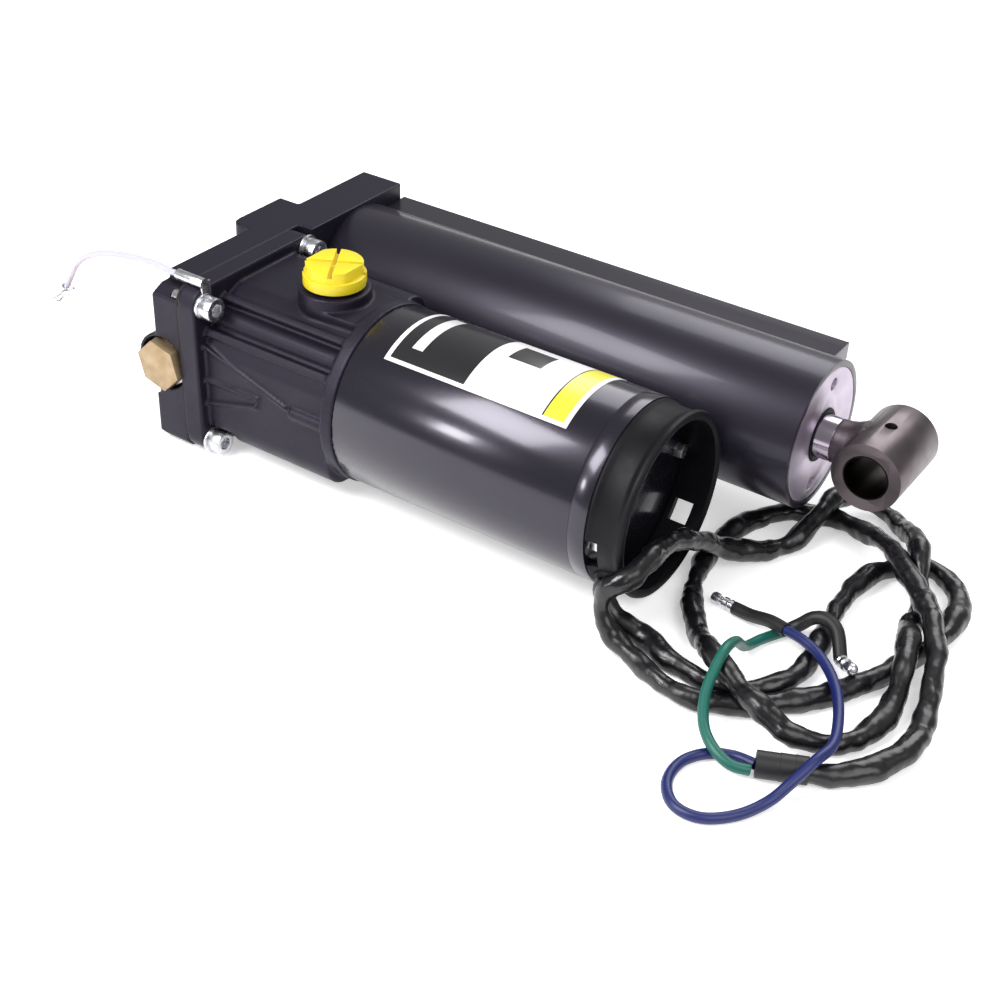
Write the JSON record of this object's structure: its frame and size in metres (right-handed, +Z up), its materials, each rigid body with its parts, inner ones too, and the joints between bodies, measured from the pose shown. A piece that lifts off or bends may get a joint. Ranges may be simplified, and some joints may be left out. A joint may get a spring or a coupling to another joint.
{
  "type": "power_trim_and_tilt_unit",
  "caption": "Outboard motor power trim and tilt unit: black tilt cylinder beside an electric pump motor with reservoir, on one manifold, with its wiring",
  "frame": {"origin": "on the lower pivot axis where the cylinder axis crosses it", "axes": "+X along the tilt cylinder towards the rod eye, +Y along the lower pivot from the motor side to the cylinder side, +Z up as the unit lies on its side"},
  "size_m": [0.4089, 0.2093, 0.0905],
  "materials": {
    "cast_black": "satin black paint over a casting",
    "satin_black": "satin black paint on a tube",
    "gloss_black": "gloss black paint",
    "bearing_metal": "plain bearing metal",
    "bright_steel": "bright steel",
    "yellow_zinc": "yellow zinc plate",
    "brass_metal": "plain brass",
    "gasket_grey": "matt gasket sheet",
    "stainless": "stainless steel",
    "cap_yellow": "semi-gloss yellow plastic",
    "black_rubber": "matt rubber",
    "filter_mesh": "fine metal mesh",
    "grey_iron": "machined grey iron",
    "copper_wire": "lacquered copper",
    "board_brown": "brown laminate",
    "carbon": "matt carbon",
    "boot_rubber": "smooth black rubber",
    "label_film": "printed film in plain panels",
    "pale_aluminium": "pale machined aluminium",
    "rod_chrome": "polished chrome",
    "turned_steel": "turned steel",
    "white_insulation": "translucent white insulation",
    "sleeve_vinyl": "glossy wrinkled vinyl",
    "tape_black": "black tape",
    "green_insulation": "satin insulation",
    "blue_insulation": "satin insulation",
    "shrink_black": "satin heat-shrink"
  },
  "bodies": {
    "unit": {"manifold": "cast_black", "pivot_bushes": "bearing_metal", "spool_plug": "yellow_zinc", "plug_washer": "bright_steel", "valve_seats": "brass_metal", "reservoir": "cast_black", "reservoir_gasket": "gasket_grey", "reservoir_screws": "stainless", "reservoir_washers": "stainless", "suction_filter": "filter_mesh", "pump_housing": "grey_iron", "pump_cover": "grey_iron", "pump_screws": "stainless", "motor_plate": "cast_black", "shaft_seal": "black_rubber", "motor_bearings": "bright_steel", "motor_can": "gloss_black", "magnets": "grey_iron", "brush_holder": "board_brown", "brushes": "carbon", "brush_springs": "bright_steel", "motor_end_bell": "gloss_black", "through_bolts": "stainless", "motor_boot": "boot_rubber", "cable_grommet": "black_rubber", "blank_label": "label_film", "tilt_tube": "satin_black", "gland": "pale_aluminium", "gland_ring": "black_rubber", "rod_seals": "black_rubber", "earth_terminals": "stainless", "earth_lead": "white_insulation", "harness_sleeve": "sleeve_vinyl", "tape_collar": "tape_black", "green_lead": "green_insulation", "blue_lead": "blue_insulation", "heat_shrinks": "shrink_black", "bullet_terminals": "stainless"},
    "ram_piston": {"piston": "pale_aluminium", "piston_ring": "black_rubber", "shock_balls": "bright_steel"},
    "ram": {"tilt_rod": "rod_chrome", "rod_nut": "bright_steel", "rod_eye": "turned_steel"},
    "free_piston_body": {"free_piston": "pale_aluminium", "free_piston_ring": "black_rubber"},
    "armature": {"armature_shaft": "bright_steel", "armature_core": "grey_iron", "armature_windings": "copper_wire", "commutator": "copper_wire", "drive_coupling": "grey_iron", "drive_gear": "bright_steel"},
    "driven": {"driven_gear": "bright_steel"},
    "cap_ring": {"cap_seal": "black_rubber"},
    "cap": {"fill_cap": "cap_yellow"},
    "valve_screw": {"release_valve": "bright_steel"},
    "spool": {"pilot_spool": "bright_steel"},
    "near_ball": {"check_ball_near": "bright_steel"},
    "far_ball": {"check_ball_far": "bright_steel"}
  },
  "joints": [
    {"name": "ram_stroke", "type": "slide", "parent": "unit", "child": "ram_piston", "axis": [1, 0, 0], "range_m": [0, 0.15]},
    {"name": "rod_turn", "type": "hinge", "parent": "ram_piston", "child": "ram", "pos_m": [0.15, 0, 0], "axis": [1, 0, 0], "range_deg": [-90, 90]},
    {"name": "free_piston_stroke", "type": "slide", "parent": "unit", "child": "free_piston_body", "axis": [1, 0, 0], "range_m": [0, 0.15]},
    {"name": "armature_spin", "type": "hinge", "parent": "unit", "child": "armature", "pos_m": [0.14, -0.072, -0.006], "axis": [1, 0, 0], "continuous": true},
    {"name": "driven_gear_spin", "type": "hinge", "parent": "unit", "child": "driven", "pos_m": [0.031, -0.057, -0.006], "axis": [1, 0, 0], "continuous": true},
    {"name": "cap_lift", "type": "slide", "parent": "unit", "child": "cap_ring", "axis": [0, 0, 1], "range_m": [0, 0.0075]},
    {"name": "cap_turn", "type": "hinge", "parent": "cap_ring", "child": "cap", "pos_m": [0.071, -0.072, 0.04], "axis": [0, 0, 1], "range_deg": [0, 900]},
    {"name": "release_turn", "type": "hinge", "parent": "unit", "child": "valve_screw", "pos_m": [0.014, 0.025, -0.02], "axis": [0, 1, 0], "range_deg": [0, 1080]},
    {"name": "spool_slide", "type": "slide", "parent": "unit", "child": "spool", "axis": [0, 1, 0], "range_m": [-0.002, 0.002]},
    {"name": "near_ball_lift", "type": "slide", "parent": "unit", "child": "near_ball", "axis": [0, 1, 0], "range_m": [-0.0015, 0]},
    {"name": "far_ball_lift", "type": "slide", "parent": "unit", "child": "far_ball", "axis": [0, 1, 0], "range_m": [0, 0.0015]}
  ],
  "couplings": [
    {"joint": "free_piston_stroke", "follows": "ram_stroke", "ratio": 1},
    {"joint": "driven_gear_spin", "follows": "armature_spin", "ratio": -1},
    {"joint": "cap_turn", "follows": "cap_lift", "rad_per_m": 2094.4}
  ]
}
